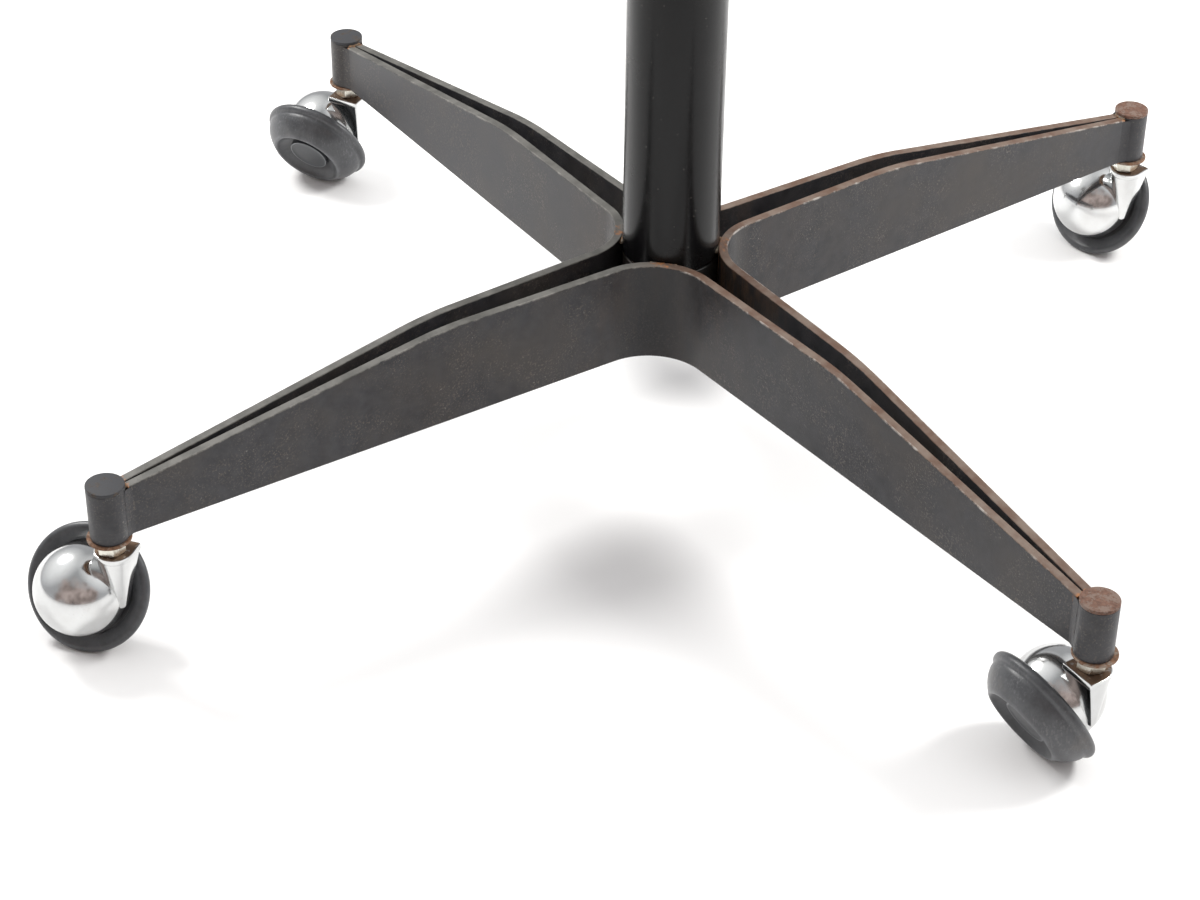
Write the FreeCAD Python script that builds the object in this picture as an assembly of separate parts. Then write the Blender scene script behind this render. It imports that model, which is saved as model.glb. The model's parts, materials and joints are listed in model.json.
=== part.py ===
import FreeCAD, Part
import math
import os

# Four-armed pedestal base on ball casters, with a swivel spindle and a mounting plate on top.
# Millimetres.  The origin is on the floor under the column, +Z is up and the arms lie on the
# X and Y axes: front is -Y, right is +X, rear is +Y and left is -X.

V = FreeCAD.Vector
UP = V(0, 0, 1)

# ---- column and hub ----
COLUMN_R = 25.4
COLUMN_WALL = 2.5
COLUMN_BOTTOM_Z = 119.0
COLUMN_TOP_Z = 330.0
COLUMN_EDGE_ROUND = 2.2
HUB_R = 25.2
HUB_BOTTOM_Z = 72.5
HUB_SPIGOT_LENGTH = 16.0
HUB_BORE_R = 8.0

# ---- bent flat-bar ribs, one in each quadrant ----
RIB_THICKNESS = 4.76
RIB_BOTTOM_Z = 71.0
RIB_HUB_HEIGHT = 55.0
RIB_TIP_HEIGHT = 26.2
KNEE_RADIUS = 145.0         # where the top edge starts to fall, measured from the column axis
KNEE_BLEND = 15.0           # tangent length of the rounded knee
FACE_OFFSET_HUB = 13.1      # outer face to arm centre line, carried on to the column axis
FACE_OFFSET_TIP = 4.86      # the same at the caster socket

# ---- caster sockets at the arm tips ----
TIP_RADIUS = 331.0
SOCKET_R = 9.525
SOCKET_TOP_Z = 99.5
CAP_THICKNESS = 1.8
CAP_ROUND = 0.3
STEM_THREAD_R = 5.0
STEM_THREAD_TOP_Z = 93.0
STEM_BORE_TOP_Z = 95.0
THREAD_GAP = 0.05

# ---- stem below the socket ----
WASHER_R = 11.0
WASHER_HOLE_R = 6.0
WASHER_THICKNESS = 1.5
COLLAR_ACROSS_FLATS = 13.0
COLLAR_HEIGHT = 6.7
SPIGOT_R = 4.0
SPIGOT_LENGTH = 12.7
SNAP_RING_DROP = 7.0        # top of the snap ring below the collar
SNAP_RING_R = 4.7
SNAP_RING_THICKNESS = 1.2
SNAP_GROOVE_R = 3.35
RUNNING_GAP = 0.05          # radial clearance of every pin that turns
FACE_GAP = 0.3              # end clearance between parts that turn on each other

# ---- ball caster ----
AXLE_TILT = 27.6            # the axle's outer end points this far below level, degrees
TRAIL = 19.25
BALL_R = 23.3
BALL_WALL = 2.0
BEAD_CIRCLE_R = 29.9        # centre line of the tyre's rounded lip
BEAD_R = 2.8
LIP_OFFSET = 8.9            # lip plane beyond the ball centre, along the axle
HOOD_RIM = -0.5             # open rim of the hood; all of these run along the axle from the lip plane
HORN_LIMIT = -4.0
HORN_PLATE_HALF_WIDTH = 10.0
HORN_PLATE_THICKNESS = 3.0
HORN_PLATE_X = 1.0
HORN_PLATE_Y = -1.0
HORN_FLAT_OFFSET = 8.7      # from the middle of the D's round side back to its flat side
HORN_NECK_SCALE = 0.95      # just under the plate, against the plate itself
HORN_TOE_SCALE = 0.28
HORN_TOE_X = 3.0
HORN_TOE_Y = 1.3
HORN_TOE_Z = 31.0
HOOD_BOSS_R = 6.0
HOOD_BOSS_END = -6.5
AXLE_R = 3.0
AXLE_INNER_END = -26.0
AXLE_OUTER_END = 11.2
CLIP_INNER_FACE = 9.9
CLIP_THICKNESS = 0.8
CLIP_R = 5.2
CLIP_GROOVE_R = 2.4

# ---- wheel, from the lip plane along the axle ----
CORE_R = 17.45
CORE_HUB_R = 9.0
CORE_INNER_FACE = -5.0
CORE_WEB_FACE = 2.6
CORE_OUTER_FACE = 9.4
BUSH_WALL = 1.5
BUSH_FLANGE_R = 7.0
BUSH_FLANGE_THICKNESS = 0.8
WHEEL_CAP_R = 12.2
WHEEL_CAP_FACE = 12.6
WHEEL_CAP_SKIRT = 1.2
WHEEL_CAP_WALL = 1.2
WHEEL_CAP_DISH = 0.5
WHEEL_CAP_ROUND = 0.6
RIDGE_R = 21.6
RIDGE_FACE = 15.2
RIDGE_ROUND = 1.5
TYRE_BAND = (8.8, 28.0)     # along the axle and out from it, half way along the running band
TYRE_BAND_END = (3.1, 31.1)
TYRE_GROOVE = (2.5, 30.5)
TYRE_SEAT_DEPTH = 1.2       # of the rubber's edge round the cap, below the cap's face
TYRE_DISH = (12.0, 16.5)
TYRE_LIP_BACK = (-0.9, 26.0)
TYRE_LIP_FRONT = (0.5, 23.6)

# ---- swivel top ----
SPINDLE_R = 12.7
SPINDLE_BOTTOM_Z = 214.0
SPINDLE_COLLAR_R = 19.0
SPINDLE_COLLAR_HEIGHT = 7.0
SPINDLE_NECK_R = 15.0
THRUST_WASHER_R = 21.0
BUSH_LENGTH = 24.0
LOWER_BUSH_Z = 220.0
THRUST_WASHER_THICKNESS = 2.0
TOP_BUSH_FLANGE = 3.0
SPINDLE_CLIP_THICKNESS = 1.5
SPINDLE_CLIP_R = 15.7
SPINDLE_GROOVE_R = 11.5
SPINDLE_CLIP_MOUTH = 8.0
FLANGE_Z = 366.0
FLANGE_THICKNESS = 5.0
FLANGE_R = 60.0
FLANGE_BOLT_CIRCLE_R = 47.5
FLANGE_HOLE_R = 3.3
FLANGE_HOLES = 4

ARMS = {"front": -90, "right": 0, "rear": 90, "left": 180}
RIBS = {"rear_right": 0, "rear_left": 90, "front_left": 180, "front_right": 270}
# Which way each caster trails, in degrees from +X, and which hand its casting is.
CASTER_YAW = {"front": 37, "right": 359, "rear": 10, "left": 28}
CASTER_HAND = {"front": "left", "right": "right", "rear": "left", "left": "right"}
# The washers hang a little off centre on their stems.
WASHER_SHIFT = {"front": (-0.3, -0.2), "right": (0.5, 0.7), "rear": (0.4, 0.3), "left": (-0.5, 0.1)}


def save(shape, node):
    if not shape.isValid():
        raise ValueError(node + " is not a valid shape")
    shape.exportStep("parts/" + node + ".step")


def cylinder(radius, low, high, centre=(0, 0)):
    return Part.makeCylinder(radius, high - low, V(centre[0], centre[1], low))


def tube(outer, inner, low, high, centre=(0, 0)):
    return cylinder(outer, low, high, centre).cut(cylinder(inner, low - 1, high + 1, centre))


def outline(corners):
    """A closed wire through the corners; a corner given as (middle, end) is reached by an arc."""
    edges = []
    here = corners[0]
    for corner in corners[1:] + [corners[0]]:
        if isinstance(corner, tuple):
            middle, corner = corner
            edges.append(Part.Arc(here, middle, corner).toShape())
        else:
            edges.append(Part.LineSegment(here, corner).toShape())
        here = corner
    return Part.Wire(edges)


# ---------------------------------------------------------------- ribs

def rib_plan():
    """The bent bar seen from above, its two legs along +X and +Y."""
    slope = (FACE_OFFSET_HUB - FACE_OFFSET_TIP) / TIP_RADIUS
    length = math.hypot(1, slope)
    lean = (1 + slope) / math.sqrt(2)
    inside_bend = ((COLUMN_R + RIB_THICKNESS) * lean - FACE_OFFSET_HUB) / (length - lean)
    centre = (COLUMN_R + RIB_THICKNESS + inside_bend) / math.sqrt(2)
    end = TIP_RADIUS - SOCKET_R - 0.1

    def face(radius, offset):
        tangent = V(centre - radius * slope / length, centre - radius / length, RIB_BOTTOM_Z)
        tip = V(end, offset - slope * end, RIB_BOTTOM_Z)
        middle = V(centre - radius / math.sqrt(2), centre - radius / math.sqrt(2), RIB_BOTTOM_Z)
        return tip, tangent, middle

    def mirrored(point):
        return V(point.y, point.x, point.z)

    tip, tangent, middle = face(inside_bend, FACE_OFFSET_HUB)
    back_offset = FACE_OFFSET_HUB - RIB_THICKNESS * length
    back_tip, back_tangent, back_middle = face(inside_bend + RIB_THICKNESS, back_offset)
    return outline([tip, tangent, (middle, mirrored(tangent)), mirrored(tip), mirrored(back_tip),
                    mirrored(back_tangent), (back_middle, back_tangent), back_tip])


def taper_cutter():
    """Everything above the falling top edge of a leg that lies along +X."""
    top = RIB_BOTTOM_Z + RIB_HUB_HEIGHT
    drop = (RIB_HUB_HEIGHT - RIB_TIP_HEIGHT) / (TIP_RADIUS - KNEE_RADIUS)
    fall = math.atan(drop)
    far = TIP_RADIUS + 10
    knee_r = KNEE_BLEND / math.tan(fall / 2)
    start = V(KNEE_RADIUS - KNEE_BLEND, 0, top)
    middle = V(start.x + knee_r * math.sin(fall / 2), 0, top - knee_r * (1 - math.cos(fall / 2)))
    finish = V(KNEE_RADIUS + KNEE_BLEND * math.cos(fall), 0, top - KNEE_BLEND * math.sin(fall))
    low = V(far, 0, top - drop * (far - KNEE_RADIUS))
    wire = outline([start, (middle, finish), low, V(far, 0, top + 10), V(start.x, 0, top + 10)])
    cutter = Part.Face(wire).extrude(V(0, 60, 0))
    cutter.translate(V(0, -20, 0))
    return cutter


def make_ribs():
    rib = Part.Face(rib_plan()).extrude(V(0, 0, RIB_HUB_HEIGHT))
    cutter = taper_cutter()
    rib = rib.cut(cutter)
    rib = rib.cut(cutter.mirror(V(0, 0, 0), V(1, -1, 0)))
    for name, angle in RIBS.items():
        save(rib.rotated(V(0, 0, 0), UP, angle), "rib_" + name)


# ---------------------------------------------------------------- column and hub

def make_column():
    bore = COLUMN_R - COLUMN_WALL
    column = cylinder(COLUMN_R, COLUMN_BOTTOM_Z, COLUMN_TOP_Z)
    column = column.makeFillet(COLUMN_EDGE_ROUND, [column.Edges[2]])
    save(column.cut(cylinder(bore, COLUMN_BOTTOM_Z - 1, COLUMN_TOP_Z + 1)), "column_tube")

    hub = cylinder(HUB_R, HUB_BOTTOM_Z, COLUMN_BOTTOM_Z - THREAD_GAP)
    hub = hub.fuse(cylinder(bore - THREAD_GAP, COLUMN_BOTTOM_Z - 1, COLUMN_BOTTOM_Z + HUB_SPIGOT_LENGTH))
    hub = hub.cut(cylinder(HUB_BORE_R, HUB_BOTTOM_Z - 1, COLUMN_TOP_Z))
    save(hub.removeSplitter(), "hub_core")


# ---------------------------------------------------------------- sockets and stems

def tip_of(arm):
    angle = math.radians(ARMS[arm])
    return V(TIP_RADIUS * math.cos(angle), TIP_RADIUS * math.sin(angle), 0)


def at_tip(shape, arm):
    return shape.translated(tip_of(arm))


def socket():
    return cylinder(SOCKET_R, RIB_BOTTOM_Z, SOCKET_TOP_Z).cut(
        cylinder(STEM_THREAD_R + THREAD_GAP, RIB_BOTTOM_Z - 1, STEM_BORE_TOP_Z))


def socket_cap():
    cap = cylinder(SOCKET_R, SOCKET_TOP_Z + THREAD_GAP, SOCKET_TOP_Z + CAP_THICKNESS)
    return cap.makeFillet(CAP_ROUND, [cap.Edges[0]])


def washer():
    top = RIB_BOTTOM_Z - THREAD_GAP
    return tube(WASHER_R, WASHER_HOLE_R, top - WASHER_THICKNESS, top)


def collar_top():
    return RIB_BOTTOM_Z - WASHER_THICKNESS - 2 * THREAD_GAP


def collar_bottom():
    return collar_top() - COLLAR_HEIGHT


def hexagon(across_flats, low, high):
    corner = across_flats / math.sqrt(3)
    points = [V(corner * math.cos(math.radians(60 * i)), corner * math.sin(math.radians(60 * i)), low)
              for i in range(6)]
    prism = Part.Face(outline(points)).extrude(V(0, 0, high - low))
    cone_r = corner + 0.05
    chamfer = Part.makeCone(cone_r - 0.9, cone_r, 0.7, V(0, 0, low))
    chamfer = chamfer.fuse(cylinder(cone_r, low + 0.7, high))
    return prism.common(chamfer)


def stem():
    shape = cylinder(STEM_THREAD_R, collar_top() - 1, STEM_THREAD_TOP_Z)
    shape = shape.fuse(hexagon(COLLAR_ACROSS_FLATS, collar_bottom(), collar_top()))
    shape = shape.fuse(cylinder(SPIGOT_R, collar_bottom() - SPIGOT_LENGTH, collar_bottom() + 1))
    ring_top = collar_bottom() - SNAP_RING_DROP
    groove = tube(SPIGOT_R + 1, SNAP_GROOVE_R - THREAD_GAP, ring_top - SNAP_RING_THICKNESS, ring_top)
    return shape.cut(groove).removeSplitter()


def snap_ring():
    ring_top = collar_bottom() - SNAP_RING_DROP
    ring = tube(SNAP_RING_R, SNAP_GROOVE_R, ring_top - SNAP_RING_THICKNESS + 0.02, ring_top - 0.02)
    gap = Part.makeBox(SNAP_RING_R, 1.6, SNAP_RING_THICKNESS + 2,
                       V(0, -0.8, ring_top - SNAP_RING_THICKNESS - 1))
    return ring.cut(gap)


def make_sockets():
    for arm, angle in ARMS.items():
        shift = V(WASHER_SHIFT[arm][0], WASHER_SHIFT[arm][1], 0)
        save(at_tip(socket(), arm), "socket_" + arm)
        save(at_tip(socket_cap(), arm), "socket_cap_" + arm)
        save(at_tip(washer().translated(shift), arm), "washer_" + arm)
        save(at_tip(stem().rotated(V(0, 0, 0), UP, angle + 12), arm), "stem_" + arm)
    save(Part.makeCompound([at_tip(snap_ring(), arm) for arm in ARMS]), "stem_snap_rings")


# ---------------------------------------------------------------- casters

TILT = math.radians(AXLE_TILT)
AXLE_DIRECTION = V(0, -math.cos(TILT), -math.sin(TILT))
LIP_CENTRE_Z = BEAD_CIRCLE_R * math.cos(TILT) + BEAD_R
BALL_CENTRE = V(-TRAIL, 0, LIP_CENTRE_Z + LIP_OFFSET * math.sin(TILT))
LIP_CENTRE = BALL_CENTRE + AXLE_DIRECTION * LIP_OFFSET


def along_axle(radius, start, end):
    """A cylinder on the axle's line, between two distances from the lip plane."""
    return Part.makeCylinder(radius, end - start, LIP_CENTRE + AXLE_DIRECTION * start, AXLE_DIRECTION)


def revolved(corners):
    """Turn a profile of (distance along the axle, radius) corners about the axle's line."""
    outward = V(0, -math.sin(TILT), math.cos(TILT))

    def place(corner):
        return LIP_CENTRE + AXLE_DIRECTION * corner[0] + outward * corner[1]

    placed = []
    for corner in corners:
        if isinstance(corner[0], tuple):
            placed.append((place(corner[0]), place(corner[1])))
        else:
            placed.append(place(corner))
    return Part.Face(outline(placed)).revolve(LIP_CENTRE, AXLE_DIRECTION, 360)


def horn():
    """The cast neck: a D-shaped plate under the stem, and a cone from it to a toe on the ball's side."""
    def d_shape(scale, x, y, z):
        half = HORN_PLATE_HALF_WIDTH * scale
        flat = y - HORN_FLAT_OFFSET * scale
        return outline([V(x - half, flat, z), V(x + half, flat, z), V(x + half, y, z),
                        (V(x, y + half, z), V(x - half, y, z))])

    under = collar_bottom() - FACE_GAP - HORN_PLATE_THICKNESS
    plate = Part.Face(d_shape(1.0, HORN_PLATE_X, HORN_PLATE_Y, under)).extrude(V(0, 0, HORN_PLATE_THICKNESS))
    neck = d_shape(HORN_NECK_SCALE, HORN_PLATE_X, HORN_PLATE_Y, under)
    toe = d_shape(HORN_TOE_SCALE, HORN_TOE_X, HORN_TOE_Y, HORN_TOE_Z)
    return plate.fuse(Part.makeLoft([toe, neck], True, True))


def hood():
    """The ball-shaped hood with its horn, the stem's bearing and the boss that holds the axle."""
    plate_z = collar_bottom() - FACE_GAP
    ball = Part.makeSphere(BALL_R, BALL_CENTRE)
    neck = horn().cut(along_axle(60, HORN_LIMIT, 60))
    hollow = Part.makeSphere(BALL_R - BALL_WALL, BALL_CENTRE)
    shell = ball.cut(along_axle(60, HOOD_RIM, 60)).fuse(neck).cut(hollow)
    boss = along_axle(HOOD_BOSS_R, AXLE_INNER_END - 4, HOOD_BOSS_END)
    boss = boss.common(Part.makeSphere(BALL_R - BALL_WALL / 2, BALL_CENTRE))
    casting = shell.fuse(boss).cut(along_axle(AXLE_R, AXLE_INNER_END, 10))
    bearing_bottom = collar_bottom() - SPIGOT_LENGTH - FACE_GAP
    casting = casting.cut(cylinder(SPIGOT_R + RUNNING_GAP, bearing_bottom, plate_z + 1))
    ring_top = collar_bottom() - SNAP_RING_DROP
    groove = cylinder(SNAP_RING_R + 0.1, ring_top - SNAP_RING_THICKNESS - 0.1, ring_top + 0.1)
    return casting.cut(groove).removeSplitter()


def axle():
    pin = along_axle(AXLE_R, AXLE_INNER_END, AXLE_OUTER_END)
    groove = along_axle(AXLE_R + 1, CLIP_INNER_FACE, CLIP_INNER_FACE + CLIP_THICKNESS)
    groove = groove.cut(along_axle(CLIP_GROOVE_R, CLIP_INNER_FACE - 1, CLIP_INNER_FACE + 2))
    return pin.cut(groove)


def axle_clip():
    start = CLIP_INNER_FACE + 0.02
    end = CLIP_INNER_FACE + CLIP_THICKNESS - 0.02
    ring = along_axle(CLIP_R, start, end).cut(along_axle(CLIP_GROOVE_R + 0.02, start - 1, end + 1))
    mouth = Part.makeBox(8, 2 * CLIP_GROOVE_R, 6, V(0, -CLIP_GROOVE_R, -3))
    mouth.rotate(V(0, 0, 0), V(1, 0, 0), 90 + AXLE_TILT)
    mouth.translate(LIP_CENTRE + AXLE_DIRECTION * CLIP_INNER_FACE)
    return ring.cut(mouth)


def tyre():
    """Hard rubber: rounded lip, groove, swelling band, ridge and a dished outer face."""
    inner = CORE_R + THREAD_GAP
    cap_edge = WHEEL_CAP_R + 0.1
    lean = BEAD_R * math.sqrt(0.5)
    return revolved([
        (CORE_WEB_FACE - THREAD_GAP, inner),
        (CORE_OUTER_FACE + THREAD_GAP, inner),
        (CORE_OUTER_FACE + THREAD_GAP, cap_edge),
        (WHEEL_CAP_FACE - TYRE_SEAT_DEPTH, cap_edge),
        (TYRE_DISH, (RIDGE_FACE - RIDGE_ROUND * 0.3, RIDGE_R - RIDGE_ROUND)),
        ((RIDGE_FACE, RIDGE_R - RIDGE_ROUND * 0.2),
         (RIDGE_FACE - RIDGE_ROUND * 0.8, RIDGE_R + RIDGE_ROUND * 0.7)),
        (TYRE_BAND, TYRE_BAND_END),
        TYRE_GROOVE,
        ((-0.2, BEAD_CIRCLE_R + BEAD_R), (-lean, BEAD_CIRCLE_R + lean)),
        ((-BEAD_R, BEAD_CIRCLE_R), (-lean, BEAD_CIRCLE_R - lean)),
        (TYRE_LIP_BACK, (-0.4, TYRE_LIP_FRONT[1] + 0.6)),
        ((0.0, TYRE_LIP_FRONT[1] + 0.2), TYRE_LIP_FRONT),
        (CORE_WEB_FACE - THREAD_GAP, TYRE_LIP_FRONT[1])])


def wheel_core():
    bore = AXLE_R + RUNNING_GAP + BUSH_WALL + THREAD_GAP
    return revolved([(CORE_INNER_FACE, bore), (CORE_INNER_FACE, CORE_HUB_R),
                     (CORE_WEB_FACE, CORE_HUB_R + 1.5),
                     (CORE_WEB_FACE, CORE_R), (CORE_OUTER_FACE, CORE_R), (CORE_OUTER_FACE, bore)])


def wheel_bush():
    bore = AXLE_R + RUNNING_GAP
    flange = CORE_INNER_FACE - THREAD_GAP
    return revolved([(flange - BUSH_FLANGE_THICKNESS, bore), (flange - BUSH_FLANGE_THICKNESS, BUSH_FLANGE_R),
                     (flange, BUSH_FLANGE_R), (flange, bore + BUSH_WALL), (CORE_OUTER_FACE, bore + BUSH_WALL),
                     (CORE_OUTER_FACE, bore)])


def wheel_cap():
    """The pressed cap in the wheel's outer face, very slightly dished."""
    seat = CORE_OUTER_FACE + THREAD_GAP
    inside_r = WHEEL_CAP_R - WHEEL_CAP_SKIRT
    cap = along_axle(WHEEL_CAP_R, seat, WHEEL_CAP_FACE)
    rim = max(cap.Edges, key=lambda edge: edge.CenterOfMass.dot(AXLE_DIRECTION))
    cap = cap.makeFillet(WHEEL_CAP_ROUND, [rim])
    cap = cap.cut(along_axle(inside_r, seat - 1, WHEEL_CAP_FACE - WHEEL_CAP_WALL))
    dish_r = (inside_r ** 2 + WHEEL_CAP_DISH ** 2) / (2 * WHEEL_CAP_DISH)
    dish_centre = LIP_CENTRE + AXLE_DIRECTION * (WHEEL_CAP_FACE - WHEEL_CAP_DISH + dish_r)
    return cap.cut(Part.makeSphere(dish_r, dish_centre))


def make_casters():
    pieces = {"caster_hood": hood(), "axle": axle(), "axle_clip": axle_clip(), "tyre": tyre(),
              "wheel_core": wheel_core(), "wheel_bush": wheel_bush(), "wheel_cap": wheel_cap()}
    for arm in ARMS:
        for name, piece in pieces.items():
            handed = piece
            if CASTER_HAND[arm] == "left":
                handed = piece.mirror(V(0, 0, 0), V(0, 1, 0))
            placed = handed.rotated(V(0, 0, 0), UP, CASTER_YAW[arm])
            save(at_tip(placed, arm), name + "_" + arm)


# ---------------------------------------------------------------- swivel top

def make_swivel_top():
    bore = COLUMN_R - COLUMN_WALL - THREAD_GAP
    bush_hole = SPINDLE_R + RUNNING_GAP
    save(tube(bore, bush_hole, LOWER_BUSH_Z, LOWER_BUSH_Z + BUSH_LENGTH), "lower_bush")
    flange_top = COLUMN_TOP_Z + TOP_BUSH_FLANGE
    top_bush = tube(bore, bush_hole, COLUMN_TOP_Z - BUSH_LENGTH, COLUMN_TOP_Z + 1)
    top_bush = top_bush.fuse(tube(COLUMN_R, bush_hole, COLUMN_TOP_Z + THREAD_GAP, flange_top))
    save(top_bush.removeSplitter(), "top_bush")

    washer_low = flange_top + FACE_GAP
    washer_high = washer_low + THRUST_WASHER_THICKNESS
    save(tube(THRUST_WASHER_R, SPINDLE_R + THREAD_GAP, washer_low, washer_high), "thrust_washer")

    collar_low = washer_high + THREAD_GAP
    spindle = cylinder(SPINDLE_R, SPINDLE_BOTTOM_Z, FLANGE_Z + FLANGE_THICKNESS)
    spindle = spindle.fuse(cylinder(SPINDLE_COLLAR_R, collar_low, collar_low + SPINDLE_COLLAR_HEIGHT))
    spindle = spindle.fuse(cylinder(SPINDLE_NECK_R, collar_low, FLANGE_Z - THREAD_GAP))
    ring_top = LOWER_BUSH_Z - FACE_GAP
    ring_low = ring_top - SPINDLE_CLIP_THICKNESS
    spindle = spindle.cut(tube(SPINDLE_R + 1, SPINDLE_GROOVE_R, ring_low, ring_top))
    save(spindle.removeSplitter(), "spindle")
    ring = tube(SPINDLE_CLIP_R, SPINDLE_GROOVE_R + THREAD_GAP, ring_low + 0.02, ring_top - 0.02)
    mouth = Part.makeBox(SPINDLE_CLIP_R + 1, SPINDLE_CLIP_MOUTH, SPINDLE_CLIP_THICKNESS + 2,
                         V(0, -SPINDLE_CLIP_MOUTH / 2, ring_low - 1))
    save(ring.cut(mouth), "spindle_clip")

    flange = tube(FLANGE_R, SPINDLE_R + THREAD_GAP, FLANGE_Z, FLANGE_Z + FLANGE_THICKNESS)
    for i in range(FLANGE_HOLES):
        angle = math.radians(45 + i * 360 / FLANGE_HOLES)
        centre = (FLANGE_BOLT_CIRCLE_R * math.cos(angle), FLANGE_BOLT_CIRCLE_R * math.sin(angle))
        flange = flange.cut(cylinder(FLANGE_HOLE_R, FLANGE_Z - 1, FLANGE_Z + FLANGE_THICKNESS + 1, centre))
    save(flange, "top_flange")


def main():
    os.makedirs("parts", exist_ok=True)
    make_ribs()
    make_column()
    make_sockets()
    make_casters()
    make_swivel_top()


main()
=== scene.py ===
import json
import math
import random

import bpy
from mathutils import Matrix, Vector


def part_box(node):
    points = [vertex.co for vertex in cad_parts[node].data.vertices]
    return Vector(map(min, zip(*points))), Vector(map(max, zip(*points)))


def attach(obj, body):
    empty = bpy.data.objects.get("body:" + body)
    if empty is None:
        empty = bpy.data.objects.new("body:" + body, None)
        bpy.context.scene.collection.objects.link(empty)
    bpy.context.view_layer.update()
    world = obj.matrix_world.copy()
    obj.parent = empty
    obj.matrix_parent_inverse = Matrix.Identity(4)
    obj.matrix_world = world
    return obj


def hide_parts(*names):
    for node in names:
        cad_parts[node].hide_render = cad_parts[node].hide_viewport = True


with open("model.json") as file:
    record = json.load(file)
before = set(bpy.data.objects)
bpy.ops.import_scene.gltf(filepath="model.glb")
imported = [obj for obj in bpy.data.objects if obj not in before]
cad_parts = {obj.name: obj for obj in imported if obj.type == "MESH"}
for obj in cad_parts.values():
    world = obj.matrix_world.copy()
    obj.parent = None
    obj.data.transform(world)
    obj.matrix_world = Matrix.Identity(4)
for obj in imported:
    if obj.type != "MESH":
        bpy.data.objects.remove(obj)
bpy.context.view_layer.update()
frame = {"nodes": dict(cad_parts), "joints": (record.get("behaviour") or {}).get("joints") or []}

MM = 0.001
UP = Vector((0, 0, 1))
ARMS = ("front", "right", "rear", "left")
ON_AXIS = 1e-7          # an outline's point nearer its axis than this is drawn as a single point

joints = {joint["name"]: joint for joint in frame["joints"]}


# ================================================================ materials

class Shader:
    """The node tree of a material or a world, with a short call for each kind of node."""

    def __init__(self, owner, surface, space):
        owner.use_nodes = True
        self.owner = owner
        self.nodes = owner.node_tree.nodes
        self.links = owner.node_tree.links
        self.surface = self.nodes[surface]
        self.place = self.nodes.new("ShaderNodeTexCoord").outputs[space]

    def feed(self, socket, value):
        """Link a node's output to a socket, or set the socket to a number or a colour."""
        if isinstance(value, bpy.types.NodeSocket):
            self.links.new(value, socket)
        elif isinstance(value, tuple) and len(value) == 3 and len(socket.default_value) == 4:
            socket.default_value = (*value, 1.0)
        else:
            socket.default_value = value

    def noise(self, scale, detail=4.0, rough=0.55, stretch=None):
        """Cloudy noise from 0 to 1; a stretch below 1 draws it out along that axis."""
        node = self.nodes.new("ShaderNodeTexNoise")
        place = self.place
        if stretch:
            mapping = self.nodes.new("ShaderNodeMapping")
            mapping.inputs["Scale"].default_value = stretch
            self.links.new(place, mapping.inputs["Vector"])
            place = mapping.outputs["Vector"]
        self.links.new(place, node.inputs["Vector"])
        node.inputs["Scale"].default_value = scale
        node.inputs["Detail"].default_value = detail
        node.inputs["Roughness"].default_value = rough
        return node.outputs["Fac"]

    def ramp(self, value, low, high, bottom=0.0, top=1.0):
        """Rises from bottom to top as the value goes from low to high."""
        node = self.nodes.new("ShaderNodeMapRange")
        self.feed(node.inputs["Value"], value)
        for socket, number in (("From Min", low), ("From Max", high), ("To Min", bottom), ("To Max", top)):
            node.inputs[socket].default_value = number
        return node.outputs["Result"]

    def math(self, operation, a, b):
        node = self.nodes.new("ShaderNodeMath")
        node.operation = operation
        self.feed(node.inputs[0], a)
        self.feed(node.inputs[1], b)
        return node.outputs["Value"]

    def plus(self, a, b):
        return self.math("ADD", a, b)

    def times(self, a, b):
        return self.math("MULTIPLY", a, b)

    def mix(self, factor, a, b):
        """Colour a where the factor is 0, colour b where it is 1."""
        node = self.nodes.new("ShaderNodeMix")
        node.data_type = "RGBA"
        self.feed(node.inputs["Factor"], factor)
        self.feed(node.inputs["A"], a)
        self.feed(node.inputs["B"], b)
        return node.outputs["Result"]

    def attribute(self, name):
        """A value stored on the mesh's points, or 0 where the mesh has none of that name."""
        node = self.nodes.new("ShaderNodeAttribute")
        node.attribute_name = name
        return node.outputs["Fac"]

    def toward(self, direction):
        """How nearly the coordinates point in a direction."""
        node = self.nodes.new("ShaderNodeVectorMath")
        node.operation = "DOT_PRODUCT"
        self.links.new(self.place, node.inputs[0])
        node.inputs[1].default_value = Vector(direction).normalized()
        return node.outputs["Value"]

    def bump(self, value, depth, strength=1.0):
        node = self.nodes.new("ShaderNodeBump")
        self.links.new(value, node.inputs["Height"])
        node.inputs["Distance"].default_value = depth
        node.inputs["Strength"].default_value = strength
        self.links.new(node.outputs["Normal"], self.surface.inputs["Normal"])

    def finish(self, color, roughness=None):
        self.feed(self.surface.inputs["Base Color"], color)
        if roughness is not None:
            self.feed(self.surface.inputs["Roughness"], roughness)
        return self.owner


def principled(name, **settings):
    """A new material, its patterns laid out in the object's own coordinates."""
    shader = Shader(bpy.data.materials.new(name), "Principled BSDF", "Object")
    for socket, value in settings.items():
        shader.surface.inputs[socket].default_value = value
    return shader


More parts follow.
